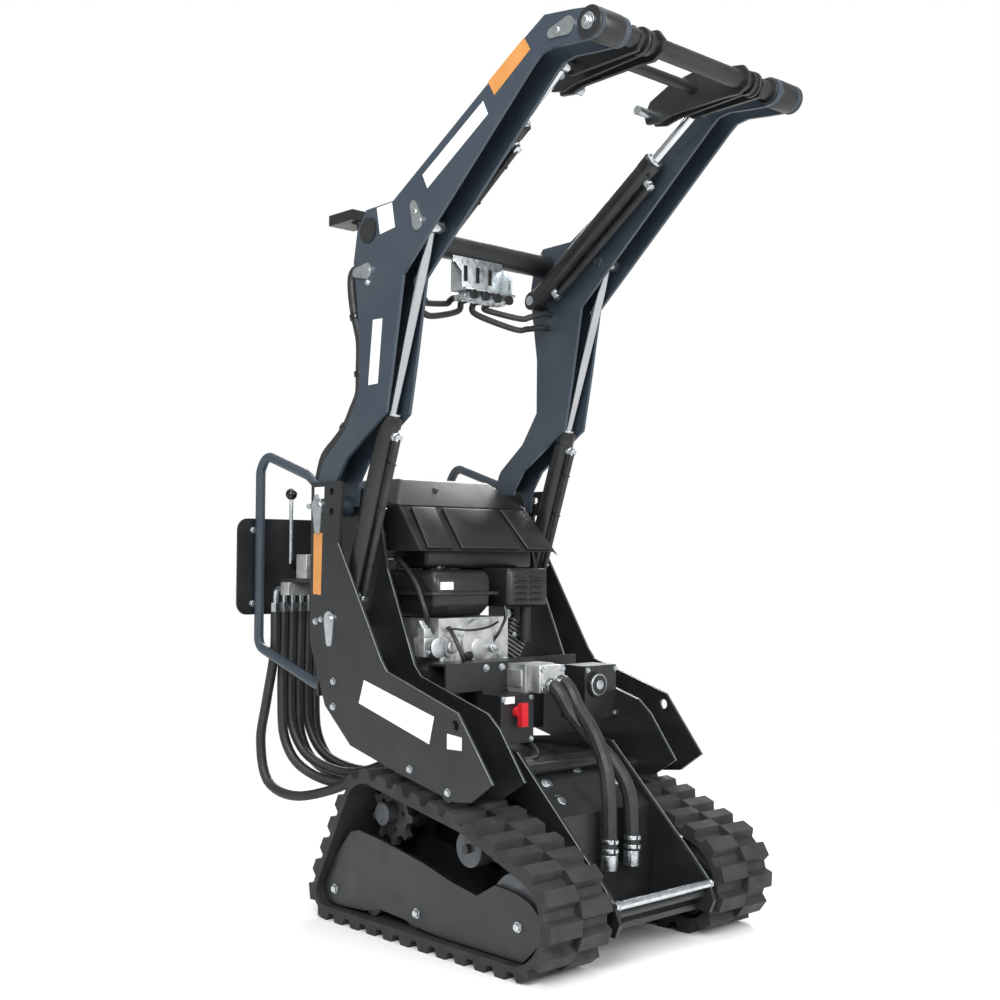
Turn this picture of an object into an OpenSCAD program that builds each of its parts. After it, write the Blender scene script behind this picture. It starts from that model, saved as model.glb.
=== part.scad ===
// Mini skid steer loader on rubber tracks, arms raised.
// +X is forward, +Y is the machine's left, +Z is up, and the tracks stand on Z = 0.
// Lengths along X are written from the middle of the machine and moved by frame_x at the end.

/* [Lift arms] */
// Arm pivot, along the machine
pivot_x = -400; // [-420:1:-380]
// Arm pivot, above the ground
pivot_z = 980; // [960:1:1000]
// Front hitch pivot, along the machine, arms raised
hitch_x = 497; // [480:1:510]
// Front hitch pivot, above the ground, arms raised
hitch_z = 1923; // [1900:1:1940]
// Gap between an arm's two plates
arm_gap = 61; // [58:1:62]
// Thickness of an arm's plates
arm_t = 8; // [6:0.5:9]
// Radius of the knee cross tube
knee_r = 30; // [24:1:34]
// Knee cross tube, along the machine
knee_x = -226; // [-232:1:-218]
// Knee cross tube, above the ground
knee_z = 1630; // [1622:1:1638]
// Radius of the arm's pivot pins
pin_r = 15; // [12:0.5:17]

/* [Lift cylinders] */
// Lower pin of the lift cylinder, along the machine
lift_x = -347; // [-355:1:-335]
// Lower pin of the lift cylinder, above the ground
lift_z = 706; // [690:1:720]
// Upper pin of the lift cylinder, along the machine
lift_top_x = -39; // [-44:1:-30]
// Upper pin of the lift cylinder, above the ground
lift_top_z = 1617; // [1605:1:1625]
// Radius of the lift barrel
lift_r = 25; // [22:0.5:27]
// Length of the lift barrel from its pin
lift_barrel = 511; // [480:1:530]
// Radius of the rods
rod_r = 13; // [10:0.5:15]

/* [Tilt cylinders] */
// Rear pin of the tilt cylinder, along the machine
tilt_x = -227; // [-235:1:-215]
// Rear pin of the tilt cylinder, above the ground
tilt_z = 1533; // [1520:1:1545]
// Front pin of the tilt cylinder, along the machine
tilt_top_x = 315; // [305:1:325]
// Front pin of the tilt cylinder, above the ground
tilt_top_z = 1918; // [1908:1:1928]
// Middle of the tilt cylinder, across the machine
tilt_y = 224; // [221:0.5:226]
// Radius of the tilt barrel
tilt_r = 26; // [22:0.5:28]
// Length of the tilt barrel from its pin
tilt_barrel = 500; // [470:1:510]

/* [Towers] */
// Outer face of the tower, across the machine
tower_y = 347; // [340:0.5:352]
// Thickness of the tower plates
tower_t = 8; // [6:0.5:10]
// Running gap between arm and tower
tower_gap = 5; // [5:0.5:7]

/* [Tracks] */
// Width of a rubber track
track_w = 180; // [160:1:190]
// Outer edge of the tracks, across the machine
track_y = 363; // [355:1:370]
// Height of the lugs
lug_h = 18; // [12:1:22]
// Thickness of the rubber belt
belt_t = 14; // [10:1:16]
// Number of lugs on each half of a track
lugs = 31; // [26:1:34]
// Share of the pitch that a lug's foot fills
lug_foot = 0.72; // [0.6:0.02:0.8]
// Share of the pitch that a lug's tip fills
lug_tip = 0.46; // [0.3:0.02:0.5]
// Height of the front idler's middle
idler_z = 122; // [115:1:128]
// Height of the rear roller's middle
rear_z = 66; // [62:1:72]
// Height of the drive sprocket's middle
sprocket_z = 262; // [250:1:270]

/* [Body] */
// Width of the hood
hood_w = 446; // [420:1:460]
// Height of the hood's top
hood_top = 1054; // [1040:1:1070]
// Half width of the rear console panel
panel_half = 385; // [360:1:400]
// Radius of the side rails
rail_r = 12.5; // [10:0.5:15]
// Rear face of the side rails, along the machine
rail_back = -688; // [-700:1:-670]
// Half width of the undercarriage box
belly_half = 160; // [150:1:165]
// Thickness of the undercarriage plates
belly_t = 10; // [8:0.5:12]

/* [Hidden] */
$fn = 48;

arm_blue = "#3f4b57";
frame_black = "#2b2d2e";
rubber_grey = "#3a3a3c";
zinc = "#b8c4c8";
alloy = "#c3c5c4";

seat = 0.3;
fit = 0.05;
boss_r = 32;
panel_t = 5;
hitch_front = hitch_x + boss_r;
panel_back = rail_back - rail_r - seat - panel_t;
frame_x = -(hitch_front + panel_back) / 2;

// Across the machine, from the middle outwards, for the left side
tower_in = tower_y - 2 * tower_t - 2 * tower_gap - 2 * arm_t - arm_gap;
arm_in = tower_in + tower_t + tower_gap;
arm_out = arm_in + 2 * arm_t + arm_gap;
lift_y = (arm_in + arm_out) / 2;
track_in = track_y - track_w;

lift_len = norm([lift_top_x - lift_x, lift_top_z - lift_z]);
lift_ang = atan2(lift_top_z - lift_z, lift_top_x - lift_x);
tilt_len = norm([tilt_top_x - tilt_x, tilt_top_z - tilt_z]);
tilt_ang = atan2(tilt_top_z - tilt_z, tilt_top_x - tilt_x);
lift_pin_r = 12.5;
tilt_pin_r = 12.5;

function unit(v) = v / norm(v);
function turn(v, a) = [v[0] * cos(a) - v[1] * sin(a), v[0] * sin(a) + v[1] * cos(a)];

module left_or_right(side) {
    if (side > 0) children();
    else mirror([0, 1, 0]) children();
}

module both() {
    children();
    mirror([0, 1, 0]) children();
}

// A side profile of [x, z] points, as a plate between y0 and y0 + t
module plate(points, y0, t) {
    translate([0, y0 + t, 0]) rotate([90, 0, 0]) linear_extrude(t) polygon(points);
}

// A round bar or a bore along Y
module bar_y(x, z, y0, y1, r) {
    translate([x, y0, z]) rotate([-90, 0, 0]) cylinder(h = y1 - y0, r = r);
}

// A round bar along X
module bar_x(y, z, x0, x1, r) {
    translate([x0, y, z]) rotate([0, 90, 0]) cylinder(h = x1 - x0, r = r);
}

// A box from its two corners
module block(low, high) {
    translate(low) cube(high - low);
}

// A cylinder's own axis: children drawn along +Z are laid along it, from a pin towards the rod
module along(x, y, z, ang) {
    translate([x, y, z]) rotate([0, 90 - ang, 0]) children();
}

// Corners of [x, z] in the side plane at y, with each corner rounded, as points of a path
function bent_path(corners, y, bend, steps = 6) = [for (i = [0 : len(corners) - 1])
    each (i == 0 || i == len(corners) - 1) ? [[corners[i][0], y, corners[i][1]]] :
    let (a = unit(corners[i] - corners[i - 1]), b = unit(corners[i + 1] - corners[i]),
         half = acos(-a * b) / 2, back = bend / tan(half),
         c = corners[i] + unit(b - a) * bend / sin(half),
         from = corners[i] - a * back - c, sweep = 180 - 2 * half,
         way = a[0] * b[1] - a[1] * b[0] > 0 ? 1 : -1)
    [for (k = [0 : steps]) let (q = c + turn(from, way * sweep * k / steps)) [q[0], y, q[1]]]];

// A hose swept along hand-chosen points, smoothed by Catmull-Rom stretches
function spline_point(p, i, t) =
    let (n = len(p),
         a = p[max(i - 1, 0)], b = p[i], c = p[i + 1], d = p[min(i + 2, n - 1)])
    0.5 * ((2 * b) + (c - a) * t + (2 * a - 5 * b + 4 * c - d) * t * t
           + (3 * b - a - 3 * c + d) * t * t * t);
function spline(p, steps) = concat(
    [for (i = [0 : len(p) - 2]) for (k = [0 : steps - 1]) spline_point(p, i, k / steps)],
    [p[len(p) - 1]]);

module hose(points, r, steps = 4, sides = 10) {
    tube(spline(points, steps), r, sides);
}

// A round tube along a path of points
module tube(path, r, sides = 12) {
    n = len(path);
    tangents = [for (i = [0 : n - 1]) unit(path[min(i + 1, n - 1)] - path[max(i - 1, 0)])];
    // A steady side vector keeps the rings from twisting
    side = [for (i = [0 : n - 1]) unit(cross(tangents[i], [0.31, 0.92, 0.24]))];
    up = [for (i = [0 : n - 1]) cross(side[i], tangents[i])];
    rings = [for (i = [0 : n - 1]) for (k = [0 : sides - 1])
        path[i] + r * (cos(360 * k / sides) * side[i] + sin(360 * k / sides) * up[i])];
    walls = [for (i = [0 : n - 2]) for (k = [0 : sides - 1])
        [i * sides + k, i * sides + (k + 1) % sides,
         (i + 1) * sides + (k + 1) % sides, (i + 1) * sides + k]];
    first = [for (k = [0 : sides - 1]) sides - 1 - k];
    last = [for (k = [0 : sides - 1]) (n - 1) * sides + k];
    polyhedron(rings, concat(walls, [first, last]), convexity = 8);
}

// Tracks. The wheels that shape the loop, seen from the left side:
// columns are x, z and the radius out to the lugs' tips, round the loop
wheels = [[-335, rear_z, rear_z],
          [300, idler_z, idler_z],
          [140, 236, 72],
          [-185, sprocket_z, 107]];
wheel_n = len(wheels);
belt_out = lug_h;
belt_in = lug_h + belt_t;

function leg_angle(i) =
    let (a = wheels[i], b = wheels[(i + 1) % wheel_n],
         d = [b[0] - a[0], b[1] - a[1]], far = norm(d))
    atan2(d[1], d[0]) - acos((a[2] - b[2]) / far);
leg_angles = [for (i = [0 : wheel_n - 1]) leg_angle(i)];
function arc_start(i) = leg_angles[(i + wheel_n - 1) % wheel_n];
function arc_sweep(i) = (leg_angles[i] - arc_start(i) + 720) % 360;
function leg_length(i) =
    let (a = wheels[i], b = wheels[(i + 1) % wheel_n])
    sqrt(pow(b[0] - a[0], 2) + pow(b[1] - a[1], 2) - pow(a[2] - b[2], 2));
// Stretches of the loop: arc then straight for each wheel, measured at the belt's outside
stretch = [for (i = [0 : wheel_n - 1]) for (k = [0, 1])
    k == 0 ? (wheels[i][2] - belt_out) * arc_sweep(i) * PI / 180 : leg_length(i)];
function sum_to(i) = i == 0 ? 0 : stretch[i - 1] + sum_to(i - 1);
loop_length = sum_to(2 * wheel_n);

// Point at distance s round the loop, depth below the lugs' tips, as [x, z]
function loop_point(s, depth, i = 0) =
    s > stretch[i] && i < 2 * wheel_n - 1 ? loop_point(s - stretch[i], depth, i + 1) :
    let (w = floor(i / 2), c = wheels[w])
    i % 2 == 0 ?
        let (a = arc_start(w) + s / (c[2] - belt_out) * 180 / PI)
        [c[0] + (c[2] - depth) * cos(a), c[1] + (c[2] - depth) * sin(a)] :
        let (a = leg_angles[w])
        [c[0] + (c[2] - depth) * cos(a) - s * sin(a), c[1] + (c[2] - depth) * sin(a) + s * cos(a)];
function on_loop(s, depth) = loop_point((s + 2 * loop_length) % loop_length, depth);

pitch = loop_length / lugs;
function lug_outline(phase) = [for (k = [0 : lugs - 1]) let (s = (k + phase) * pitch) each [
    on_loop(s - pitch * lug_foot / 2, belt_out),
    on_loop(s - pitch * lug_tip / 2, 0),
    on_loop(s + pitch * lug_tip / 2, 0),
    on_loop(s + pitch * lug_foot / 2, belt_out)]];
// The belt's inner face is drawn just outside the wheels' circles, so that they run clear of it
arc_step = 12;
belt_inside = [for (w = [0 : wheel_n - 1])
    let (n = ceil(arc_sweep(w) / arc_step), step = arc_sweep(w) / n, c = wheels[w],
         r = (c[2] - belt_in) / cos(step / 2))
    for (k = [0 : n - 1]) let (a = arc_start(w) + (k + 0.5) * step)
    [c[0] + r * cos(a), c[1] + r * sin(a)]];

module track_half(phase, y0, w) {
    translate([0, y0 + w, 0]) rotate([90, 0, 0]) linear_extrude(w) difference() {
        polygon(lug_outline(phase));
        polygon(belt_inside);
    }
}

module track(side) {
    color(rubber_grey) left_or_right(side) union() {
        track_half(0, track_in, track_w / 2);
        track_half(0.5, track_in + track_w / 2, track_w / 2);
    }
}

// Wheels inside the track run on its inner face
tread_w = 116;
tread_y = track_in + (track_w - tread_w) / 2;
wheel_gap = seat;
frame_t = 8;
frame_out = track_y - 20;
frame_in = track_in + 20;
axle_r = 10;
// Small rollers along the ground: x places
ground_rollers = [-190, -40, 110];
ground_r = 30;
idler_r = wheels[1][2] - belt_in - wheel_gap;
rear_r = wheels[0][2] - belt_in - wheel_gap;
carrier_r = wheels[2][2] - belt_in - wheel_gap;
sprocket_r = wheels[3][2] - belt_in - wheel_gap;
ground_z = belt_in + wheel_gap + ground_r;
// Every wheel but the sprocket: x, z, radius
rolling = concat([[wheels[0][0], wheels[0][1], rear_r],
                  [wheels[1][0], wheels[1][1], idler_r],
                  [wheels[2][0], wheels[2][1], carrier_r]],
                 [for (x = ground_rollers) [x, ground_z, ground_r]]);

// Outline of a track frame's outer plate
frame_plate = [[-366, 66], [-349, 41], [-310, 36], [-210, 42], [-150, 56], [-60, 50], [0, 40],
               [60, 36], [318, 36], [344, 60], [378, 92], [372, 135], [338, 160], [300, 172],
               [236, 178], [180, 146], [100, 160], [6, 184], [-148, 212], [-232, 222],
               [-262, 214], [-330, 140]];

module track_frame(side) {
    color(frame_black) left_or_right(side) difference() {
        union() {
            plate(frame_plate, frame_out - frame_t, frame_t);
            plate(frame_plate, frame_in, frame_t);
            for (w = rolling) bar_y(w[0], w[1], frame_in, frame_out, axle_r);
            block([-130, belly_half, 96], [-60, frame_in + frame_t, 170]);
            block([150, belly_half, 80], [220, frame_in + frame_t, 140]);
            bar_y(wheels[3][0], wheels[3][1], belly_half, frame_in + frame_t, 60);
            plate([[105, 140], [185, 140], [162, 252], [118, 252]], frame_in, frame_t);
            plate([[-262, 150], [-120, 150], [-115, 262], [-140, 300], [-185, 320], [-235, 300],
                   [-255, 262]], frame_in, frame_t);
        }
    }
}

module rollers(side) {
    color("#4a4c4e") left_or_right(side) for (w = rolling) difference() {
        translate([w[0], tread_y, w[1]]) rotate([-90, 0, 0]) difference() {
            cylinder(h = tread_w, r = w[2]);
            translate([0, 0, tread_w / 2 - 20]) difference() {
                cylinder(h = 40, r = w[2] + 1);
                cylinder(h = 40, r = w[2] - 8);
            }
        }
        bar_y(w[0], w[1], frame_in, frame_out, axle_r + fit);
    }
}

teeth = 9;
sprocket_y = track_y - track_w / 2;
module sprocket(side) {
    color("#45484a") left_or_right(side) translate([wheels[3][0], 0, wheels[3][1]])
        rotate([-90, 0, 0]) union() {
            translate([0, 0, sprocket_y - 8]) linear_extrude(16) difference() {
                polygon([for (k = [0 : teeth - 1]) for (q = [0 : 3])
                    let (a = 360 * (k + [0.02, 0.28, 0.42, 0.88][q]) / teeth,
                         r = [sprocket_r, sprocket_r, sprocket_r - 16, sprocket_r - 16][q])
                    [r * cos(a), r * sin(a)]]);
                for (k = [0 : 4]) rotate(72 * k) translate([40, 0]) circle(r = 6, $fn = 16);
            }
            translate([0, 0, frame_in + frame_t]) cylinder(h = sprocket_y - 8 - frame_in - frame_t, r = 46);
            translate([0, 0, sprocket_y + 8]) cylinder(h = 30, r = 26);
        }
}

// Undercarriage box between the tracks
belly_side = [[-300, 78], [-300, 330], [-262, 395], [60, 430], [107, 421], [337, 203], [400, 140],
              [417, 98], [405, 70], [-292, 70]];
tank_front = 230;
tie_x = 385;
tie_z = 112;
module undercarriage_frame() {
    color(frame_black) union() {
        both() plate(belly_side, belly_half - belly_t, belly_t);
        block([-300, -belly_half + belly_t, 72], [tank_front + 140, belly_half - belly_t, 84]);
        block([-300, -belly_half + belly_t, 72], [-290, belly_half - belly_t, 330]);
        bar_y(tie_x, tie_z, -belly_half + belly_t, belly_half - belly_t, 10);
        bar_y(120, 400 - 20, -belly_half + belly_t, belly_half - belly_t, 14);
        both() for (c = tower_tubes)
            bar_y(c[0], c[1], belly_half - belly_t, tower_in, tower_tube_r);
    }
}

tank_side = [[-180, 84 + seat], [-180, 396], [70, 396], [100, 380], [tank_front, 290],
             [tank_front, 84 + seat]];
tank_half = belly_half - belly_t - seat;
module hydraulic_tank() {
    color("#1f2122") union() {
        difference() {
            plate(tank_side, -tank_half, 2 * tank_half);
            bar_y(120, 380, -tank_half - 1, tank_half + 1, 14 + seat);
        }
        translate([-40, 0, 396]) cylinder(h = 8, r = 80);
    }
}

// Towers: outer plate, inner plate and the tubes across, on the left side
tower_tube_r = 22;
// The tubes that carry a tower: x, z
tower_tubes = [[-40, 385], [90, 350]];
tower_outer = [[-430, 1038], [-430, 650], [-365, 500], [-262, 415], [-90, 373], [112, 332],
               [165, 338], [231, 383], [119, 522], [-128, 596], [-150, 621], [-320, 890],
               [-303, 1019], [-310, 1038]];
tower_inner = [[-430, 1025], [-430, 650], [-365, 500], [-262, 415], [-90, 373], [112, 332],
               [160, 336], [228, 377], [149, 482], [111, 513], [-120, 580], [-145, 605],
               [-250, 830], [-300, 1025]];
module tower(side) {
    color(frame_black) left_or_right(side) difference() {
        union() {
            plate(tower_outer, tower_y - tower_t, tower_t);
            plate(tower_inner, tower_in, tower_t);
            for (c = tower_tubes) bar_y(c[0], c[1], tower_in, tower_y, tower_tube_r);
            bar_y(-240, 520, tower_in, tower_y, 14);
            block([-330, hood_w / 2 + seat, 890], [-290, tower_in, 920]);
            block([-400, tower_in, 520], [-392, tower_y, 600]);
        }
        bar_y(pivot_x, pivot_z, tower_in - 1, tower_y + 1, pin_r);
        bar_y(lift_x, lift_z, tower_in - 1, tower_y + 1, lift_pin_r);
        for (z = [965, 1014]) bar_y(-346, z, tower_y - tower_t - 1, tower_y + 1, 9);
        bar_y(112, 495, tower_y - tower_t - 1, tower_y + 1, 12);
    }
}

module lock_plate(x, y, z, ang, long, head_r, tail_r, t) {
    translate([x, y, z]) rotate([-90, 0, 0]) rotate([0, 0, -ang]) linear_extrude(t) union() {
        circle(r = head_r);
        translate([long, 0]) circle(r = tail_r);
        polygon([[0, head_r], [0, -head_r], [long, -tail_r], [long, tail_r]]);
    }
}

module tower_pins() {
    color(zinc) both() {
        bar_y(pivot_x, pivot_z, tower_in - 6, tower_y + 8, pin_r);
        bar_y(lift_x, lift_z, tower_in - 6, tower_y + 8, lift_pin_r);
        lock_plate(pivot_x, tower_y, pivot_z, -88, 56, 21, 12, 5);
        lock_plate(lift_x, tower_y, lift_z, -88, 52, 20, 12, 5);
    }
}

// Arms, on the left side. Outline from the pivot, up the rear edge to the tip and back
arm_front = [[-96, 1506], [-127, 1331], [-155, 1192], [-310, 1089], [-345, 1040]];
arm_rear = [[-446, 1000], [-418, 1043], [-406, 1079], [-397, 1093], [-313, 1161], [-259, 1242],
            [-258, 1383], [-284, 1563], [-270, 1637], [-237, 1680], [-134, 1683]];
arm_tip = [[310, 1948], [363, 1977], [445, 1965], [hitch_x, hitch_z + boss_r],
           [hitch_x, hitch_z - boss_r], [442, 1896], [383, 1903], [350, 1898], [329, 1882]];
arm_outline = concat([[pivot_x + 46, pivot_z]], [[-446, pivot_z]], arm_rear, arm_tip, arm_front);
// The web closes the rear of the lower arm and the top of the upper arm
web_t = 8;
web_rear = [[-418, 1043], [-397, 1093], [-313, 1161], [-259, 1242], [-258, 1383], [-284, 1563],
            [-270, 1637], [-237, 1680], [-134, 1683], [310, 1948]];
function inset_line(p, d) = [for (i = [0 : len(p) - 1])
    let (a = unit(p[min(i + 1, len(p) - 1)] - p[max(i - 1, 0)]))
    p[i] + d * [a[1], -a[0]]];
web_profile = concat(web_rear, [for (i = [len(web_rear) - 1 : -1 : 0]) inset_line(web_rear, web_t)[i]]);

module arm(side) {
    color(arm_blue) left_or_right(side) difference() {
        union() {
            plate(arm_outline, arm_in, arm_t);
            plate(arm_outline, arm_out - arm_t, arm_t);
            plate(web_profile, arm_in, arm_out - arm_in);
            bar_y(pivot_x, pivot_z, arm_in, arm_out, pin_r + 10);
            bar_y(hitch_x, hitch_z, arm_in - 6, arm_out + 8, boss_r);
        }
        bar_y(pivot_x, pivot_z, arm_in - 1, arm_out + 1, pin_r + fit);
        bar_y(hitch_x, hitch_z, arm_in - 7, arm_out + 9, pin_r);
        bar_y(lift_top_x, lift_top_z, arm_in - 1, arm_out + 1, lift_pin_r);
        bar_y(tilt_x, tilt_z, arm_in - 1, arm_out + 1, tilt_pin_r);
        bar_y(knee_x, knee_z, arm_in - 1, arm_out + 1, knee_r);
    }
}

module knee_tube() {
    color(arm_blue) bar_y(knee_x, knee_z, -arm_out - 4, arm_out + 4, knee_r);
}

module arm_pins() {
    color(zinc) both() {
        bar_y(tilt_x, tilt_z, tilt_y - 26, arm_out + 6, tilt_pin_r);
        bar_y(lift_top_x, lift_top_z, arm_in - 4, arm_in + arm_t + 6, lift_pin_r);
        bar_y(lift_top_x, lift_top_z, arm_out - arm_t - 6, arm_out + 6, lift_pin_r);
        lock_plate(lift_top_x, arm_out, lift_top_z, 112, 44, 19, 11, 5);
        lock_plate(tilt_x, arm_out, tilt_z, 178, 44, 19, 11, 5);
        lock_plate(433, arm_out, 1934, 184, 46, 19, 11, 5);
    }
}

module coupler_bracket() {
    color(zinc) union() {
        block([-206, -70, 1500], [-200, 60, knee_z - sqrt(knee_r * knee_r - 400) - seat]);
        translate([0, -5, 0]) both() block([-200, 58, 1520], [-150, 62, 1585]);
    }
}

module knee_lamp() {
    color("#202224") union() {
        plate([[-282.9, 1570.5], [-271.7, 1629.7], [-300, 1668], [-330, 1676], [-330, 1670], [-306, 1660]],
              -310, 40);
        block([-395, -328, 1670], [-300, -252, 1696]);
    }
}

// Cylinders, on the left side
eye_w = 40;
module lift_barrel(side) {
    color("#1c1d1e") left_or_right(side) difference() {
        along(lift_x, lift_y, lift_z, lift_ang) union() {
            translate([0, 0, 14]) cylinder(h = lift_barrel - 14, r = lift_r);
            translate([0, eye_w / 2, 0]) rotate([90, 0, 0]) cylinder(h = eye_w, r = 24);
        }
        bar_y(lift_x, lift_z, tower_in, tower_y, lift_pin_r + fit);
        along(lift_x, lift_y, lift_z, lift_ang) translate([0, 0, 60]) cylinder(h = lift_barrel, r = rod_r + fit);
    }
}

module lift_rod(side) {
    color("#c9cccd") left_or_right(side) difference() {
        along(lift_x, lift_y, lift_z, lift_ang) union() {
            translate([0, 0, lift_barrel - 60]) cylinder(h = lift_len - lift_barrel + 60 - 14, r = rod_r);
            translate([0, eye_w / 2, lift_len]) rotate([90, 0, 0]) cylinder(h = eye_w, r = 22);
        }
        bar_y(lift_top_x, lift_top_z, tower_in, tower_y, lift_pin_r + fit);
    }
}

module tilt_barrel(side) {
    color("#1c1d1e") left_or_right(side) difference() {
        along(tilt_x, tilt_y, tilt_z, tilt_ang) union() {
            translate([0, 0, 14]) cylinder(h = tilt_barrel - 14, r = tilt_r);
            translate([0, eye_w / 2, 0]) rotate([90, 0, 0]) cylinder(h = eye_w, r = 24);
        }
        bar_y(tilt_x, tilt_z, tilt_y - 40, arm_in, tilt_pin_r + fit);
        along(tilt_x, tilt_y, tilt_z, tilt_ang) translate([0, 0, 60]) cylinder(h = tilt_barrel, r = rod_r + fit);
    }
}

module tilt_rod(side) {
    color("#c9cccd") left_or_right(side) difference() {
        along(tilt_x, tilt_y, tilt_z, tilt_ang) union() {
            translate([0, 0, tilt_barrel - 60]) cylinder(h = tilt_len - tilt_barrel + 60 - 14, r = rod_r);
            translate([0, 12, tilt_len]) rotate([90, 0, 0]) cylinder(h = 24, r = 20);
        }
        bar_y(tilt_top_x, tilt_top_z, tilt_y - 40, arm_in, tilt_pin_r + fit);
    }
}

// Hitch at the arms' tips
hitch_tube_r = 21;
thin_x = 369;
thin_z = 1935;
thin_half = 150;
ear_t = 10;
hitch_side = [[hitch_x + 26, hitch_z - 20], [hitch_x + 30, hitch_z + 8], [hitch_x + 14, hitch_z + 30],
              [380, 1975], [300, 1962], [240, 1935], [222, 1905], [228, 1884], [262, 1880],
              [300, 1890], [hitch_x - 40, hitch_z - 30], [hitch_x, hitch_z - 32]];
ear_profile = [[hitch_x + 10, hitch_z - 28], [hitch_x + 26, hitch_z], [hitch_x, hitch_z + 28],
               [tilt_top_x, tilt_top_z + 26], [tilt_top_x - 24, tilt_top_z],
               [tilt_top_x, tilt_top_z - 26]];
ear_in = tilt_y - 13 - ear_t;
module hitch_frame() {
    color("#2f3336") difference() {
        union() {
            bar_y(hitch_x, hitch_z, -arm_in + 6 + seat, arm_in - 6 - seat, hitch_tube_r);
            bar_y(thin_x, thin_z, -thin_half, thin_half, 13);
            both() {
                plate(hitch_side, thin_half - ear_t, ear_t);
                plate(ear_profile, ear_in, ear_t);
                bar_y(hitch_x, hitch_z, 168, 180, hitch_tube_r + 6);
                bar_y(tilt_top_x, tilt_top_z, ear_in - 6, ear_in + ear_t, tilt_pin_r);
            }
        }
    }
}

module hitch_latches() {
    color(zinc) both() bar_y(240, 1905, thin_half - ear_t - 46, thin_half - ear_t, 11);
}

// Engine between the towers
module crankcase() {
    color(alloy) union() {
        block([-331.7, -190, 586 + seat], [-130, 34.5, 711.7]);
        bar_x(-75, 655, -130, -112, 54);
        bar_x(-165, 645, -130, -112, 24);
    }
}

fins = 9;
module engine_cylinder() {
    color("#8d9092") translate([-225, 62, 610]) rotate([-28, 0, 0]) union() {
        block([-62, -22, 0], [62, 22, 92]);
        for (k = [0 : fins - 1]) block([-72, -34, 6 + k * 10], [72, 34, 11 + k * 10]);
    }
}

module fan_housing() {
    color("#1d1e1f") union() {
        bar_x(-60, 680, -440, -332, 130);
        block([-440, -190, 590], [-332, 70, 680]);
    }
}

module fuel_tank() {
    color("#222426") union() {
        block([-325, -214, 712], [-122, -18, 768]);
        block([-331, -221, 768], [-115, -11, 775]);
        block([-325, -214, 775], [-122, -18, 826]);
    }
}

module muffler() {
    color("#26282a") difference() {
        block([-300, 14, 735], [-106, 152, 831]);
        for (k = [0 : 4]) for (y = [34, 90]) block([-108, y, 750 + 15 * k], [-105, y + 42, 756 + 15 * k]);
    }
}

module exhaust_elbow() {
    color("#3b3936") union() {
        translate([-137, 100, 648]) cylinder(h = 735 - seat - 648, r = 14);
        bar_x(100, 662, -153 + seat, -137, 14);
    }
}

module cross_channel() {
    color(frame_black) union() {
        block([-104, -tower_in + seat, 545], [-98, tower_in - seat, 612]);
        block([-330, -tower_in + seat, 580], [-104, tower_in - seat, 586]);
        block([-98, -tower_in + seat, 606], [-40, 47, 612]);
        block([-46, -tower_in + seat, 545], [-40, 47, 612]);
        block([-98, 41, 545], [-40, 47, 612]);
        block([-46, -130, 480], [-40, -60, 550]);
    }
}

module hydraulic_pump() {
    color(alloy) union() {
        block([-40, -50, 540], [20, 45, 606]);
        block([20, -38, 545], [56, 38, 600]);
        bar_x(18, 566, 56, 70 - seat, 15);
        bar_x(-18, 560, 56, 70 - seat, 15);
    }
}

module isolator_box() {
    color("#2a2c2e") block([-40, -144, 427], [37, -39, 539.5]);
}

module isolator_switch() {
    color("#d2232a") union() {
        bar_x(-92, 500, 37, 50, 14);
        block([50, -102, 468], [64, -82, 522]);
    }
}

module side_box() {
    color(frame_black) union() {
        block([-40, 132, 465], [40, tower_in - seat, 594]);
        bar_x(172, 548, 40, 48, 30);
    }
}

hood_front = -152;
module hood() {
    color("#2a2c2d") union() {
        plate([[hood_front, 872], [-256, 988], [-330, hood_top], [-500, hood_top], [-500, 880],
               [-494, 880], [-494, hood_top - 6], [-333, hood_top - 6], [-262, 984], [-162, 872]],
              -hood_w / 2, hood_w);
        both() plate([[hood_front, 872], [-256, 988], [-330, hood_top], [-500, hood_top], [-500, 880]],
                     hood_w / 2 - 4, 4);
    }
}

rail_y = tower_y - tower_t - rail_r - seat;
rail_bend = 34;
rail_path = [[-430 - seat, 1030], [-470, 1058], [-660, 1118], [rail_back, 1080], [rail_back, 625],
             [-430, 545], [-400 - seat, 545]];
module side_rail(side) {
    color(arm_blue) left_or_right(side) tube(bent_path(rail_path, rail_y, rail_bend), rail_r);
}

module console_panel() {
    color("#1e2021") translate([panel_back, 0, 0]) rotate([90, 0, 90]) linear_extrude(panel_t) union() {
        square_rounded(panel_half, 706, 955, 30);
    }
}

module square_rounded(half, low, high, r) {
    union() {
        translate([-half + r, low]) square([2 * (half - r), high - low]);
        translate([-half, low + r]) square([2 * half, high - low - 2 * r]);
        for (y = [-half + r, half - r]) for (z = [low + r, high - r]) translate([y, z]) circle(r = r);
    }
}

module control_valve() {
    color("#6d7072") union() {
        block([-620, -300, 800], [-520, 40, 852]);
    }
}

module control_levers() {
    color("#1b1b1c") for (y = [-270, -200, -130, -60, 10]) {
        bar_x(y, 835, -650, -620 - seat, 14);
        translate([-640, y, 845]) cylinder(h = 160, r = 5);
        translate([-640, y, 1018]) sphere(r = 17);
    }
}

hose_r = 17;
module suction_hoses() {
    color("#3c3d40") union() {
        hose([[71.5, 18, 566], [84, 18, 563], [104, 17, 545], [130, 15, 510], [190, 4, 458], [238, -10, 392],
              [252, -13, 320], [254, -13, 230], [254, -13, 165]], hose_r);
        hose([[71.5, -18, 560], [83, -17, 557], [99, -12, 538], [120, 2, 496], [155, 22, 450], [208, 48, 392],
              [245, 60, 330], [254, 62, 240], [254, 62, 165]], hose_r);
    }
}

module foot_step() {
    color(frame_black) block([-420, -120, 200], [-300 - seat, 120, 208]);
}

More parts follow.
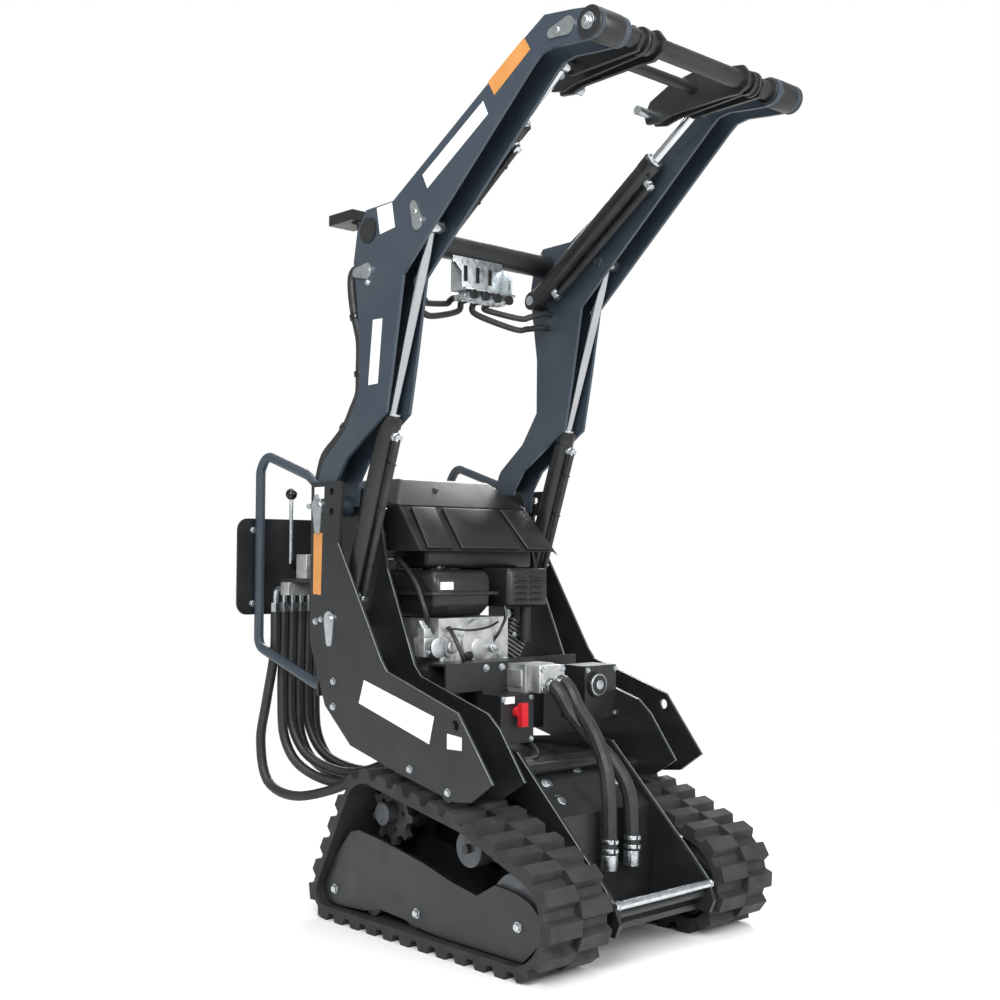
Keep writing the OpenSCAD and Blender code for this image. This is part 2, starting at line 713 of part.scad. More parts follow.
module valve_shelf() {
    color(frame_black) difference() {
        block([-640, -300, 800 - seat - 8], [-430 - seat, 300, 800 - seat]);
        block([-448, -200, 780], [-430, 80, 801]);
    }
}

module placed() { translate([frame_x, 0, 0]) children(); }

placed() undercarriage_frame();
placed() track_frame(-1);  // track_frame_right
placed() track_frame(1);  // track_frame_left
placed() track(-1);  // track_right
placed() track(1);  // track_left
placed() sprocket(-1);  // sprocket_right
placed() sprocket(1);  // sprocket_left
placed() rollers(-1);  // rollers_right
placed() rollers(1);  // rollers_left
placed() hydraulic_tank();
placed() tower(-1);  // tower_right
placed() tower(1);  // tower_left
placed() cross_channel();
placed() crankcase();
placed() engine_cylinder();
placed() fan_housing();
placed() fuel_tank();
placed() muffler();
placed() exhaust_elbow();
placed() hydraulic_pump();
placed() isolator_box();
placed() isolator_switch();
placed() side_box();
placed() hood();
placed() side_rail(-1);  // side_rail_right
placed() side_rail(1);  // side_rail_left
placed() console_panel();
placed() control_valve();
placed() control_levers();
placed() suction_hoses();
placed() tower_pins();
placed() foot_step();
placed() valve_shelf();
placed() arm(-1);  // arm_right
placed() arm(1);  // arm_left
placed() knee_tube();
placed() arm_pins();
placed() coupler_bracket();
placed() knee_lamp();
placed() lift_barrel(-1);  // lift_barrel_right
placed() lift_barrel(1);  // lift_barrel_left
placed() lift_rod(-1);  // lift_rod_right
placed() lift_rod(1);  // lift_rod_left
placed() tilt_barrel(-1);  // tilt_barrel_right
placed() tilt_barrel(1);  // tilt_barrel_left
placed() tilt_rod(-1);  // tilt_rod_right
placed() tilt_rod(1);  // tilt_rod_left
placed() hitch_frame();
placed() hitch_latches();
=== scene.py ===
# %% [markdown]
# A mini skid steer loader on rubber tracks, arms raised. The measured model comes first: every steel
# piece, its joints and its place are already there, so this lesson dresses that model. It gives each
# piece its real finish and adds the small fastenings that a mechanic would expect to see.

# %% Load the measured model
import math
import bmesh
import bpy
from mathutils import Matrix, Vector


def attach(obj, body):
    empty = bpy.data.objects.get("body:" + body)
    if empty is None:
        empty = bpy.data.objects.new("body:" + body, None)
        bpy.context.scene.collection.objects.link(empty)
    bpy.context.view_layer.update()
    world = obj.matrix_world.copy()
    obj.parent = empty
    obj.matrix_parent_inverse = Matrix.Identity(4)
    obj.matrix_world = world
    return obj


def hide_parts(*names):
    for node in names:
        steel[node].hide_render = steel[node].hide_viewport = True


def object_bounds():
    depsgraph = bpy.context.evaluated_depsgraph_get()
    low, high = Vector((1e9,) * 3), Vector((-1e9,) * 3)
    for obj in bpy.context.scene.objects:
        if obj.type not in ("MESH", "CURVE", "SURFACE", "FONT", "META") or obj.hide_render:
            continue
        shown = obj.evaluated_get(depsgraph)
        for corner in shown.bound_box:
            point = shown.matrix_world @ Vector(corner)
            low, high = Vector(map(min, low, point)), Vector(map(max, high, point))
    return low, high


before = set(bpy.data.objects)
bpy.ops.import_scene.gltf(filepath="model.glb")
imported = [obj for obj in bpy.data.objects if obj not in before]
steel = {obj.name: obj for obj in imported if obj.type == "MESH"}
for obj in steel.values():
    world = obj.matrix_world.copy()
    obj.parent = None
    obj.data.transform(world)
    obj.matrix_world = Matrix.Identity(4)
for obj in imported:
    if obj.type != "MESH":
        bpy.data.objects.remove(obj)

cad_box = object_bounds()
print("nodes:", len(steel), "size in metres:", [round(v, 3) for v in cad_box[1] - cad_box[0]])

# %% [markdown]
# The photograph was taken from the machine's front right, at hip height. A camera in Blender looks
# along its own -Z, so its turn is written as three directions: to the right, up and back.

# %% Camera
CAMERA_PLACE = Vector((2.4254, -2.2862, 0.855))
CAMERA_YAW = math.radians(137.105)
CAMERA_PITCH = math.radians(2.444)
CAMERA_ROLL = math.radians(0.292)
CAMERA_LENS = 49.17

look = Vector((math.cos(CAMERA_YAW) * math.cos(CAMERA_PITCH),
               math.sin(CAMERA_YAW) * math.cos(CAMERA_PITCH), math.sin(CAMERA_PITCH)))
level = Vector((math.sin(CAMERA_YAW), -math.cos(CAMERA_YAW), 0))
upright = level.cross(look)
right = level * math.cos(CAMERA_ROLL) + upright * math.sin(CAMERA_ROLL)
above = upright * math.cos(CAMERA_ROLL) - level * math.sin(CAMERA_ROLL)
camera_data = bpy.data.cameras.new("camera")
camera_data.lens = CAMERA_LENS
camera_data.sensor_width = 36
camera = bpy.data.objects.new("camera", camera_data)
camera.matrix_world = Matrix.Translation(CAMERA_PLACE) @ Matrix((right, above, -look)).transposed().to_4x4()
bpy.context.scene.collection.objects.link(camera)
bpy.context.scene.camera = camera
print("camera looks along", [round(v, 3) for v in look])

# %% [markdown]
# A material is a small graph. One helper adds a node, sets its values and joins its inputs, so that
# each finish below reads as a list of what it is made of. Colours are written as a painter's hex
# values, and Blender needs them as linear light.

# %% Helpers for materials
def linear(code):
    """An sRGB hex colour as linear red, green, blue and alpha."""
    parts = [int(code[i:i + 2], 16) / 255 for i in (1, 3, 5)]
    return [p / 12.92 if p <= 0.04045 else ((p + 0.055) / 1.055) ** 2.4 for p in parts] + [1]


def new_material(name):
    """A named material and its Principled shader."""
    made = bpy.data.materials.new(name)
    made.use_nodes = True
    return made, made.node_tree.nodes["Principled BSDF"]


def add(material, kind, settings=None, **inputs):
    """Adds a node: settings are its own properties, inputs are sockets' values or other sockets."""
    node = material.node_tree.nodes.new(kind)
    for name, value in (settings or {}).items():
        setattr(node, name, value)
    for name, value in inputs.items():
        socket = node.inputs[int(name[1:]) if name[0] == "_" and name[1:].isdigit() else name]
        if isinstance(value, bpy.types.NodeSocket):
            material.node_tree.links.new(value, socket)
        else:
            socket.default_value = value
    return node


def join(material, start, end):
    """Links an output socket to an input socket."""
    material.node_tree.links.new(start, end)


# %% [markdown]
# Every rigid finish on this machine is a skin over steel, plastic or cast metal. Three things make a
# skin look real: a slow drift of its colour where dust lies, a roughness that isn't even, and a fine
# grain in its surface. The grain's size is a real one in millimetres, drawn coarser where the real one
# would be too fine to see.

# %% A skin with dust, uneven gloss and grain
MM = 0.001


def skin(name, colour, dusty, rough, rougher, grain, height, metallic=0.0, drift=140, share=0.5):
    """colour drifts to dusty over drift mm, rough to rougher; grain and height are the bump's mm."""
    made, shader = new_material(name)
    place = add(made, "ShaderNodeTexCoord").outputs["Object"]
    clouds = add(made, "ShaderNodeTexNoise", Vector=place, Scale=1 / (drift * MM), Detail=6.0,
                 Roughness=0.62)
    ramp = add(made, "ShaderNodeValToRGB", Fac=clouds.outputs["Fac"])
    ramp.color_ramp.elements[0].position = share - 0.12
    ramp.color_ramp.elements[1].position = share + 0.3
    ramp.color_ramp.elements[0].color = linear(colour)
    ramp.color_ramp.elements[1].color = linear(dusty)
    join(made, ramp.outputs["Color"], shader.inputs["Base Color"])
    smears = add(made, "ShaderNodeTexNoise", Vector=place, Scale=1 / (drift * 0.4 * MM), Detail=4.0)
    gloss = add(made, "ShaderNodeMapRange", Value=smears.outputs["Fac"])
    gloss.inputs["From Min"].default_value = 0.3
    gloss.inputs["From Max"].default_value = 0.7
    gloss.inputs["To Min"].default_value = rough
    gloss.inputs["To Max"].default_value = rougher
    join(made, gloss.outputs["Result"], shader.inputs["Roughness"])
    fine = add(made, "ShaderNodeTexNoise", Vector=place, Scale=1 / (grain * MM), Detail=3.0)
    bump = add(made, "ShaderNodeBump", Height=fine.outputs["Fac"], Distance=height * MM, Strength=0.6)
    join(made, bump.outputs["Normal"], shader.inputs["Normal"])
    shader.inputs["Metallic"].default_value = metallic
    return made


# %% [markdown]
# The plates are powder coated: a baked polyester film with a faint orange peel and a satin gloss. The
# arms are a blue grey, and the chassis is nearly black, with pale dust in its quiet places.

# %% Powder coats
ARM_PAINT = skin("powder coat, blue grey", "#2f3a45", "#3a444d", 0.32, 0.45, 3.2, 0.05)
FRAME_PAINT = skin("powder coat, black", "#16181a", "#232527", 0.3, 0.45, 3.2, 0.05)
BARREL_PAINT = skin("enamel on cylinder tube, black", "#161718", "#26282a", 0.25, 0.4, 4.0, 0.04)

# %% [markdown]
# Rubber is dull and dark, and holds dust. Injection moulded shrouds are smoother, with a leather
# grain of about a millimetre that the mould was etched with.

# %% Rubber and plastics
RUBBER = skin("moulded rubber, dusty", "#1c1c1d", "#343231", 0.6, 0.82, 5.0, 0.35, drift=90)
HOSE_RUBBER = skin("hose cover, smooth rubber", "#1a1b1c", "#2c2d2e", 0.42, 0.6, 3.0, 0.12, drift=60)
SHROUD = skin("moulded ABS, black", "#131415", "#1e1f21", 0.3, 0.44, 2.2, 0.08)
KNOB = skin("phenolic resin, black", "#101112", "#1a1b1c", 0.14, 0.22, 6.0, 0.02)
RED_PLASTIC = skin("moulded nylon, red", "#c8202a", "#a81c24", 0.3, 0.42, 2.5, 0.05, drift=30)

# %% [markdown]
# Zinc plating on pins and bolts is a bright, slightly yellow grey. Chromed rods are ground round and
# polished, so they mirror their surroundings. Sand cast and die cast aluminium is matt and grainy.

# %% Metals
ZINC = skin("bright zinc plate", "#cfd5d8", "#aab2b4", 0.22, 0.4, 4.0, 0.03, metallic=1.0, drift=30)
CHROME = skin("hard chrome, ground", "#c9cccf", "#b9bdc0", 0.1, 0.18, 8.0, 0.01, metallic=1.0, drift=60)
ALLOY = skin("die cast aluminium", "#c6c8c6", "#94979a", 0.36, 0.55, 2.0, 0.12, metallic=0.85, drift=40)
FINS = skin("sand cast iron, heat dulled", "#7f8183", "#55585a", 0.45, 0.65, 2.4, 0.2, metallic=0.7,
            drift=40)
EXHAUST = skin("heat tinted steel", "#2e2b29", "#1d1c1b", 0.42, 0.6, 3.0, 0.08, metallic=0.5, drift=35)
WHEEL_STEEL = skin("rolled steel, worn and oiled", "#5c5f62", "#33363a", 0.35, 0.6, 3.0, 0.1,
                   metallic=0.6, drift=50)

# %% [markdown]
# Each node of the measured model gets its finish by name. Assigning to the object's slots leaves its
# mesh as it was measured.

# %% Dress the nodes
FINISH_OF = {
    ARM_PAINT: ["arm", "side_rail"],
    FRAME_PAINT: ["undercarriage_frame", "track_frame", "tower", "cross_channel", "side_box",
                  "console_panel", "foot_step", "valve_shelf", "isolator_box", "hitch_frame",
                  "hydraulic_tank", "knee_tube"],
    RUBBER: ["track"],
    HOSE_RUBBER: ["suction_hoses", "rear_hoses", "arm_hoses"],
    SHROUD: ["hood", "fan_housing", "fuel_tank", "muffler", "knee_lamp"],
    RED_PLASTIC: ["isolator_switch"],
    ZINC: ["tower_pins", "arm_pins", "hitch_latches"],
    CHROME: ["lift_rod", "tilt_rod"],
    ALLOY: ["crankcase", "hydraulic_pump", "control_valve"],
    FINS: ["engine_cylinder"],
    EXHAUST: ["exhaust_elbow"],
    WHEEL_STEEL: ["rollers", "sprocket"],
    BARREL_PAINT: ["lift_barrel", "tilt_barrel"],
}
dressed = 0
for finish, names in FINISH_OF.items():
    for node in steel:
        if node.removesuffix("_right").removesuffix("_left") in names:
            for slot in steel[node].material_slots:
                slot.material = finish
            dressed += 1
print("nodes dressed:", dressed)

# %% [markdown]
# The pieces below are drawn in the machine's own millimetres, where the arms' pivot lies at x -400.
# One function turns them into the scene's metres, and a few short tools build every piece: a disc on
# a surface, a bolt, a flat plate, a bent tube, and a finish that rounds edges and fixes the piece to
# the body that carries it.

# %% Tools for pieces
DRAWING_X = 88.4


def at(x, y, z):
    """A place on the drawing, in the scene's metres."""
    return Vector(((x + DRAWING_X) * MM, y * MM, z * MM))


def disc(mesh, place, along, radius, depth, sides=24, tip=None, start=0.0):
    """A cylinder that stands on place and points along a direction, start mm above it."""
    way = Vector(along).normalized()
    middle = Matrix.Translation(at(*place) + way * (start + depth / 2) * MM)
    bmesh.ops.create_cone(mesh, cap_ends=True, segments=sides, radius1=radius * MM,
                          radius2=(radius if tip is None else tip) * MM, depth=depth * MM,
                          matrix=middle @ way.to_track_quat("Z", "Y").to_matrix().to_4x4())


def gland(mesh, place, along, outer, inner, depth, sides=48):
    """A gland or washer with a bore: a square section spun about the line through place."""
    way = Vector(along).normalized()
    aside = way.orthogonal().normalized()
    foot = at(*place)
    section = [mesh.verts.new(foot + (aside * r + way * h) * MM)
               for r, h in ((inner, 0), (outer, 0), (outer, depth), (inner, depth))]
    edges = [mesh.edges.new(pair) for pair in zip(section, section[1:] + section[:1])]
    bmesh.ops.spin(mesh, geom=section + edges, cent=foot, axis=way, angle=2 * math.pi, steps=sides,
                   use_merge=True)


def bolt(mesh, place, along, size=8.0):
    """A hexagon bolt with its washer; size is the thread's diameter."""
    disc(mesh, place, along, size * 1.1, size * 0.2)
    disc(mesh, place, along, size * 0.92, size * 0.5, sides=6, start=size * 0.2)
    disc(mesh, place, along, size * 0.92, size * 0.15, sides=6, tip=size * 0.7, start=size * 0.7)


def slab(mesh, corners, push):
    """A flat plate: its corners on the drawing, pushed along a vector in millimetres."""
    face = mesh.faces.new([mesh.verts.new(at(*corner)) for corner in corners])
    grown = bmesh.ops.extrude_face_region(mesh, geom=[face])
    moved = [v for v in grown["geom"] if isinstance(v, bmesh.types.BMVert)]
    bmesh.ops.translate(mesh, verts=moved, vec=Vector(push) * MM)


def brick(mesh, low, high):
    """A block between two opposite corners."""
    slab(mesh, [(low[0], low[1], low[2]), (high[0], low[1], low[2]), (high[0], high[1], low[2]),
                (low[0], high[1], low[2])], (0, 0, high[2] - low[2]))


def smooth_way(points, steps):
    """A Catmull-Rom way through the points, in metres."""
    knots = [at(*point) for point in points]
    knots = [knots[0] * 2 - knots[1]] + knots + [knots[-1] * 2 - knots[-2]]
    way = []
    for a, b, c, d in zip(knots, knots[1:], knots[2:], knots[3:]):
        for k in range(steps):
            t = k / steps
            way.append(0.5 * (2 * b + (c - a) * t + (2 * a - 5 * b + 4 * c - d) * t * t
                              + (3 * b - a - 3 * c + d) * t ** 3))
    return way + [knots[-2]]


def tube(mesh, points, radius, sides=12, steps=5):
    """A hose or rod swept along a smooth way, by pushing its end face from ring to ring."""
    way = smooth_way(points, steps)
    aims = [(b - a).normalized() for a, b in zip([way[0]] + way, way[1:] + [way[-1]])]
    turn = aims[0].to_track_quat("Z", "Y")
    last = Matrix.Translation(way[0]) @ turn.to_matrix().to_4x4()
    ring = bmesh.ops.create_circle(mesh, cap_ends=True, segments=sides, radius=radius * MM, matrix=last)
    face = ring["verts"][0].link_faces[0]
    for place, before, aim in zip(way[1:], aims, aims[1:]):
        turn = before.rotation_difference(aim) @ turn
        here = Matrix.Translation(place) @ turn.to_matrix().to_4x4()
        grown = bmesh.ops.extrude_face_region(mesh, geom=[face])["geom"]
        face = [part for part in grown if isinstance(part, bmesh.types.BMFace)][0]
        bmesh.ops.transform(mesh, matrix=here @ last.inverted(), verts=face.verts)
        last = here


PIECES = []


def finished(name, mesh, material, body, edge=0.0):
    """Rounds the edges by edge mm, shades the piece and fixes it to a body."""
    bmesh.ops.recalc_face_normals(mesh, faces=mesh.faces)
    if edge:
        sharp = [e for e in mesh.edges if e.is_manifold and e.calc_face_angle() > 0.4]
        bmesh.ops.bevel(mesh, geom=sharp, offset=edge * MM, offset_type="OFFSET", segments=3, profile=0.5,
                        affect="EDGES", material=-1, clamp_overlap=True)
    for e in mesh.edges:
        e.smooth = e.is_manifold and e.calc_face_angle() < 0.6
    for face in mesh.faces:
        face.smooth = True
    data = bpy.data.meshes.new(name)
    mesh.to_mesh(data)
    mesh.free()
    data.materials.append(material)
    made = bpy.data.objects.new(name, data)
    bpy.context.scene.collection.objects.link(made)
    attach(made, body)
    PIECES.append((name, len(data.polygons)))
    return made


VINYL = skin("printed vinyl, white", "#e9ebec", "#d3d5d6", 0.3, 0.42, 6.0, 0.01, drift=60)
ORANGE = skin("printed vinyl, orange", "#c88a4a", "#b67a3e", 0.3, 0.42, 6.0, 0.01, drift=60)
BOTH = (("right", -1), ("left", 1))
AHEAD, UP = (1, 0, 0), (0, 0, 1)

# %% [markdown]
# The hood is a moulded cover. Its side outline is pushed across the machine, then four planes cut the
# corners away and the cut faces are closed again. Three raised panels lie on its
# sloping front, as the mould leaves them.

# %% Hood
HOOD_FRONT, HOOD_LOW, HOOD_BEND, HOOD_HALF = -152, 872, (-256, 988), 223
mesh = bmesh.new()
slab(mesh, [(x, -HOOD_HALF, z) for x, z in ((HOOD_FRONT, HOOD_LOW), HOOD_BEND, (-330, 1054), (-500, 1054),
                                            (-500, HOOD_LOW))], (0, 2 * HOOD_HALF, 0))
for name, side in BOTH:
    for place, facing in (((0, side * 217, 988), (0, side * 66, 68)), ((0, side * HOOD_HALF, HOOD_LOW), (0, side * 116, 6))):
        bmesh.ops.bisect_plane(mesh, geom=mesh.verts[:] + mesh.edges[:] + mesh.faces[:], plane_co=at(*place),
                               plane_no=Vector(facing), clear_outer=True)
        bmesh.ops.holes_fill(mesh, edges=[e for e in mesh.edges if e.is_boundary])
bmesh.ops.recalc_face_normals(mesh, faces=mesh.faces)
hood = finished("hood_cover", mesh, SHROUD, "chassis", edge=9)
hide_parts("hood")
lean = Vector((HOOD_BEND[0] - HOOD_FRONT, 0, HOOD_BEND[1] - HOOD_LOW))
out = Vector((-lean.z, 0, lean.x)).normalized() * -1
for number, outline in enumerate((((-98, 0.04), (98, 0.04), (86, 0.9), (-86, 0.9)),
                                  ((124, 0.04), (205, 0.04), (186, 0.9), (110, 0.9)),
                                  ((-205, 0.04), (-124, 0.04), (-110, 0.9), (-186, 0.9)))):
    mesh = bmesh.new()
    slab(mesh, [(HOOD_FRONT + lean.x * t - out.x * 2, y, HOOD_LOW + lean.z * t - out.z * 2)
                for y, t in outline], out * 9)
    finished("hood_panel_%d" % number, mesh, SHROUD, "chassis", edge=4)
mesh = bmesh.new()
disc(mesh, (-300, -60, 1026), (0.66, 0, 0.74), 9, 5, tip=6)
finished("hood_stud", mesh, SHROUD, "chassis", edge=1)
print("hood pieces:", len(PIECES))

# %% [markdown]
# The fuel tank is two pressed halves joined at a seam, rounded off all round, with a screw cap. The
# muffler's guard has two columns of louvres; each is a short raised hood.

# %% Fuel tank and muffler guard
mesh = bmesh.new()
slab(mesh, [(x, -206, z) for x, z in ((-325, 714), (-160, 714), (-128, 738), (-124, 768), (-124, 802), (-140, 826),
                                      (-325, 826))], (0, 182, 0))
finished("tank_body", mesh, SHROUD, "chassis", edge=16)
mesh = bmesh.new()
brick(mesh, (-331, -221, 766), (-115, -11, 775))
finished("tank_seam", mesh, SHROUD, "chassis", edge=2.5)
mesh = bmesh.new()
disc(mesh, (-236, -116, 822), UP, 30, 16, sides=24)
finished("tank_cap", mesh, KNOB, "chassis", edge=3)
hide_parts("fuel_tank")
mesh = bmesh.new()
brick(mesh, (-300, 14, 735), (-106, 152, 831))
guard = finished("muffler_guard", mesh, SHROUD, "chassis", edge=12)
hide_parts("muffler")
mesh = bmesh.new()
for row in range(5):
    for y in (36, 90):
        slab(mesh, [(-107, y, 749 + 15 * row), (-100, y, 749 + 15 * row), (-107, y, 758 + 15 * row)], (0, 38, 0))
finished("muffler_louvres", mesh, SHROUD, "chassis", edge=0.8)

# %% [markdown]
# The engine stands open. Its front cover is a cast plate held by eight bolts, beside a throttle disc
# and a governor arm. A black plug, the dipstick's tube and the studs of the exhaust stand out of it.

# %% Engine front
COVER = [(-197, 600), (-182, 652), (-156, 668), (-60, 668), (-20, 656), (0, 630), (30, 612), (30, 600)]
mesh = bmesh.new()
slab(mesh, [(-131, y, z) for y, z in COVER], (10, 0, 0))
disc(mesh, (-121, -75, 638), AHEAD, 27, 11)
disc(mesh, (-112, -165, 645), AHEAD, 15, 8)
finished("engine_cover", mesh, ALLOY, "chassis", edge=3)
mesh = bmesh.new()
for y, z in ((-186, 609), (-174, 646), (-142, 660), (-100, 660), (-60, 660), (-26, 646), (-4, 622), (20, 607)):
    bolt(mesh, (-121, y, z), AHEAD, 7)
for y in (78, 122):
    bolt(mesh, (-152, y, 664), AHEAD, 7)
finished("engine_bolts", mesh, ZINC, "chassis")
mesh = bmesh.new()
slab(mesh, [(-152, y, z) for y, z in ((-236, 708), (-222, 708), (-186, 668), (-180, 642), (-206, 636), (-214, 668))],
     (5, 0, 0))
disc(mesh, (-152, -206, 645), AHEAD, 9, 40)
disc(mesh, (-114, -206, 645), AHEAD, 25, 7)
finished("governor_arm", mesh, ZINC, "chassis", edge=1)
mesh = bmesh.new()
disc(mesh, (-121, -112, 622), AHEAD, 11, 16)
disc(mesh, (-141, -150, 662), UP, 9, 48)
disc(mesh, (-141, -52, 662), UP, 7, 48)
tube(mesh, [(-118, -30, 650), (-100, -20, 680), (-104, 2, 712), (-112, 6, 740)], 4, sides=8)
tube(mesh, [(-118, -178, 690), (-96, -120, 684), (-96, -60, 690), (-118, -10, 700)], 3, sides=8)
finished("engine_plugs", mesh, KNOB, "chassis", edge=0.8)
print("pieces so far:", len(PIECES))

# %% [markdown]
# Hoses are swept along smooth ways. Six leave the valves at the rear, hang in loops below the console
# and run in to the tank. Each hose has a crimped steel sleeve where it meets its fitting.

# %% Rear hoses
ELBOW_X, BLOCK_BACK = -655, -612
OUTER = [(ELBOW_X, 0, 714), (-657, 0, 610), (-692, 0, 478), (-716, 0, 376), (-690, 0.03, 276), (-600, 0.14, 246),
         (-500, 0.42, 268), (-400, 0.72, 318), (-300, 0.98, 354), (-190, 1, 356)]
INNER = [(ELBOW_X, 0, 714), (-657, 0, 610), (-659, 0, 500), (-652, 0.03, 410), (-600, 0.14, 338), (-500, 0.42, 306),
         (-400, 0.72, 332), (-300, 0.98, 356), (-190, 1, 356)]
hoses, elbows = bmesh.new(), bmesh.new()
for k in range(6):
    side = -298 + 26 * k
    sag = 22 if k % 2 else 0
    tube(hoses, [(x, side + 168 * inward, z - (sag if z < 420 and x < -420 else 0))
                 for x, inward, z in (OUTER if k == 0 else INNER)], 12.5)
    tube(elbows, [(BLOCK_BACK, side, 775), (-640, side, 775), (-652, side, 768), (ELBOW_X, side, 752),
                  (ELBOW_X, side, 735)], 7)
    disc(elbows, (ELBOW_X, side, 714), UP, 12.5, 23, sides=6)
    disc(elbows, (ELBOW_X, side, 690), UP, 11.6, 24)
finished("rear_hose_loops", hoses, HOSE_RUBBER, "chassis")
finished("rear_elbows", elbows, ZINC, "chassis")

# %% [markdown]
# A bundle in a spiral sleeve leaves the right arm high up, bulges back and follows the arm down to
# its pivot. Two hoses from each arm cross to the quick couplings under the knee tube.

# %% Arm hoses
BUNDLE = [(-287, 1546), (-300, 1545), (-310, 1528), (-308, 1490), (-297, 1440), (-283, 1400), (-274, 1365),
          (-274, 1300), (-275, 1252), (-286, 1229), (-300, 1209), (-326, 1172), (-366, 1139), (-413, 1104),
          (-436, 1050)]
COUPLINGS = (-68, -30, 10, 50)
mesh = bmesh.new()
tube(mesh, [(x, -318, z) for x, z in BUNDLE], 12, steps=4)
for number, (side, x, z, dip) in enumerate(((-1, -205, 1500, 1478), (-1, -216, 1464, 1448), (1, -216, 1464, 1448),
                                            (1, -205, 1500, 1478))):
    y = COUPLINGS[number]
    tube(mesh, [(x, side * 258, z), (x, side * 232, z), (x, side * 180, dip + 6), (-216, (side * 258 + y) / 2, dip),
                (-240, y + side * 12, (dip + 1503) / 2), (-240, y, 1498), (-228, y, 1503), (-213, y, 1503)], 8)
finished("arm_hose_set", mesh, HOSE_RUBBER, "arms")
mesh = bmesh.new()
for x, z, aim in ((-297, 1440, (13, 0, -40)), (-275, 1300, (0, 0, -40)), (-326, 1172, (-40, 0, -33))):
    disc(mesh, (x, -318, z), aim, 15, 14)
finished("arm_hose_clamps", mesh, KNOB, "arms", edge=1.5)

# %% [markdown]
# The coupler bracket is a folded plate. Its slots are not cut: three black patches on its face are painted
# shade where one would look into them. Its four quick couplings are turned from steel and plated: a knurled collar, a
# hexagon and a dust cap each.

# %% Coupler bracket
mesh = bmesh.new()
brick(mesh, (-206, -92, 1520), (-200, 74, 1606))
brick(mesh, (-206, -92, 1514), (-150, 74, 1520))
for y in (-92, 74):
    slab(mesh, [(-206, y - 2, 1514), (-164, y - 2, 1514), (-164, y - 2, 1560), (-190, y - 2, 1588), (-206, y - 2, 1588)],
         (0, 4, 0))
bracket = finished("coupler_plate", mesh, ZINC, "arms", edge=1)
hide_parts("coupler_bracket")
mesh = bmesh.new()
for y in COUPLINGS:
    disc(mesh, (-213, y, 1503), AHEAD, 10, 18, sides=6)
    disc(mesh, (-195, y, 1503), AHEAD, 12.5, 24)
    disc(mesh, (-171, y, 1503), AHEAD, 10, 21)
finished("couplings", mesh, ZINC, "arms", edge=0.8)
mesh = bmesh.new()
# Three black patches on the plate's face: painted shade standing in for the dark seen through its slots
for y in (-50, -10, 32):
    brick(mesh, (-200.4, y - 6, 1545), (-199, y + 6, 1585))
for y in COUPLINGS:
    disc(mesh, (-151, y, 1503), AHEAD, 12, 7)
finished("coupling_caps_and_slot_shade", mesh, KNOB, "arms", edge=0.3)

# %% [markdown]
# Each lever is a plated rod that leaves its valve through a rubber boot and ends in a black ball.

# %% Valves and levers
mesh = bmesh.new()
for y in (-140, -70, 0, 70):
    brick(mesh, (-620, y, 800), (-520, y + 62, 852))
brick(mesh, (-612, -138, 800), (-528, 132, 842))
brick(mesh, (-568, -295, 800), (-523, -255, 862))
brick(mesh, (BLOCK_BACK, -312, 758), (-576, -154, 791))
valves = finished("valve_bank", mesh, ALLOY, "chassis", edge=2)
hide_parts("control_valve")
rods, knobs = bmesh.new(), bmesh.new()
for y in (-107, -37, 33, 103):
    disc(rods, (-570, y, 852), UP, 5, 155)
    for ring in range(4):
        disc(knobs, (-570, y, 852 + 8 * ring), UP, 14, 8, tip=10)
    bmesh.ops.create_uvsphere(knobs, u_segments=24, v_segments=14, radius=15 * MM,
                              matrix=Matrix.Translation(at(-570, y, 1018)))
disc(rods, (-622, -275, 838), UP, 5, 170)
for ring in range(4):
    disc(knobs, (-574 - 8 * ring, -275, 838), (-1, 0, 0), 15, 8, tip=11)
bmesh.ops.create_uvsphere(knobs, u_segments=24, v_segments=14, radius=15 * MM,
                          matrix=Matrix.Translation(at(-622, -275, 1018)))
levers = finished("lever_rods", rods, ZINC, "chassis")
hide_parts("control_levers")
finished("lever_balls", knobs, KNOB, "chassis")

# %% [markdown]
# A cylinder's oil comes in by a port at each end of its barrel. A hose lies beside the barrel from
# one banjo bolt to the other, held by cable ties. A bright ring closes the barrel where its rod leaves.

